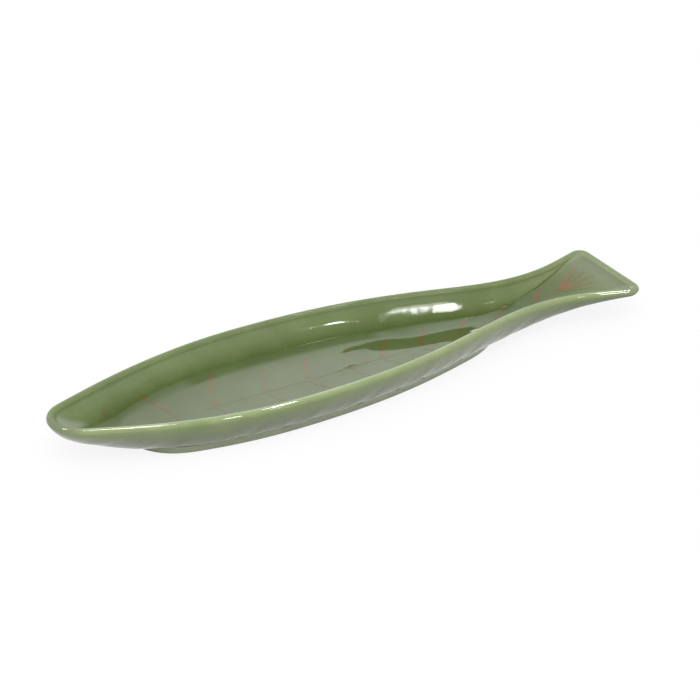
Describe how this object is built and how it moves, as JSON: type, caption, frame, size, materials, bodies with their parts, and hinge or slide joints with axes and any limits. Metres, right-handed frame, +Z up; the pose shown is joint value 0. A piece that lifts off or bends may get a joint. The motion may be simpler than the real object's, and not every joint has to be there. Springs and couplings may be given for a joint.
{
  "type": "fish shaped platter",
  "caption": "Long glazed stoneware platter in the outline of a fish, with a rolled rim, a raised oval foot and a brushed fish bone pattern in the bowl.",
  "frame": {"origin": "middle of the platter's length and width, on the table plane under the foot", "axes": "+X from the nose to the tail, +Y to the side of the painted eye, +Z up out of the bowl"},
  "size_m": [0.46, 0.1146, 0.0352],
  "materials": {
    "green_glaze": "glossy mid green glaze over stoneware",
    "foot_glaze": "thinner, slightly darker green glaze on the foot, with a wiped bare stoneware edge",
    "brush_colour": "red brown brushed colour under the clear gloss"
  },
  "bodies": {
    "root": {"dish_body": "green_glaze", "foot_ring": "foot_glaze", "eye_dot": "brush_colour", "gill_stroke": "brush_colour", "spine_stroke": "brush_colour", "rib_stroke_1": "brush_colour", "rib_stroke_2": "brush_colour", "rib_stroke_3": "brush_colour", "rib_stroke_4": "brush_colour", "rib_stroke_5": "brush_colour", "rib_stroke_6": "brush_colour", "rib_stroke_7": "brush_colour", "rib_stroke_8": "brush_colour", "rib_stroke_9": "brush_colour", "tail_stroke_1": "brush_colour", "tail_stroke_2": "brush_colour", "tail_stroke_3": "brush_colour", "tail_stroke_4": "brush_colour", "tail_stroke_5": "brush_colour"}
  },
  "joints": []
}
